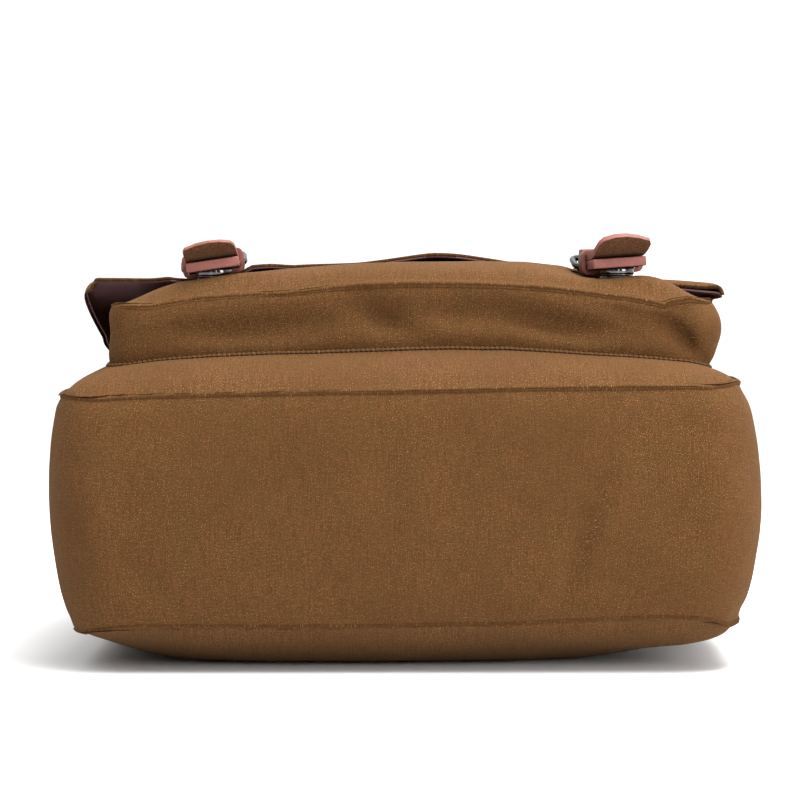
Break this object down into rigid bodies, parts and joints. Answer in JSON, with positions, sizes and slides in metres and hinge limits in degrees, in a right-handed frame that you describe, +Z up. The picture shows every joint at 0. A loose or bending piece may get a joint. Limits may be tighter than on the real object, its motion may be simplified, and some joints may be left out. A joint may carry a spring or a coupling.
{
  "type": "canvas musette bag",
  "caption": "Stuffed canvas musette bag with a bellows pocket, a lined flap and leather buckle closures, lying on its back panel.",
  "frame": {"origin": "on the floor, under the middle of the whole bag's outline", "axes": "+X to the right seen from the bag's bottom panel, +Y from the bottom panel to the mouth, +Z up, out of the bag's front"},
  "size_m": [0.3758, 0.3026, 0.2267],
  "materials": {
    "canvas": "coarse washed canvas weave",
    "lining": "smooth dark lining",
    "leather": "semi-gloss, painted edges",
    "gunmetal": "dark plated",
    "nickel": "polished"
  },
  "bodies": {
    "root": {"front_panel": "canvas", "back_panel": "canvas", "gusset": "canvas", "pocket_front": "canvas", "pocket_gusset": "canvas", "flap": "canvas", "flap_lining": "lining", "snap_base_left": "nickel", "snap_base_right": "nickel", "snap_top_left": "nickel", "snap_top_right": "nickel", "snap_tab_left": "leather", "snap_tab_right": "leather", "keeper_left": "leather", "keeper_right": "leather", "buckle_left": "gunmetal", "buckle_right": "gunmetal", "strap_left": "leather", "strap_right": "leather", "ring_tab_left": "leather", "ring_tab_right": "leather", "strap_ring_left": "gunmetal", "strap_ring_right": "gunmetal"}
  },
  "joints": []
}
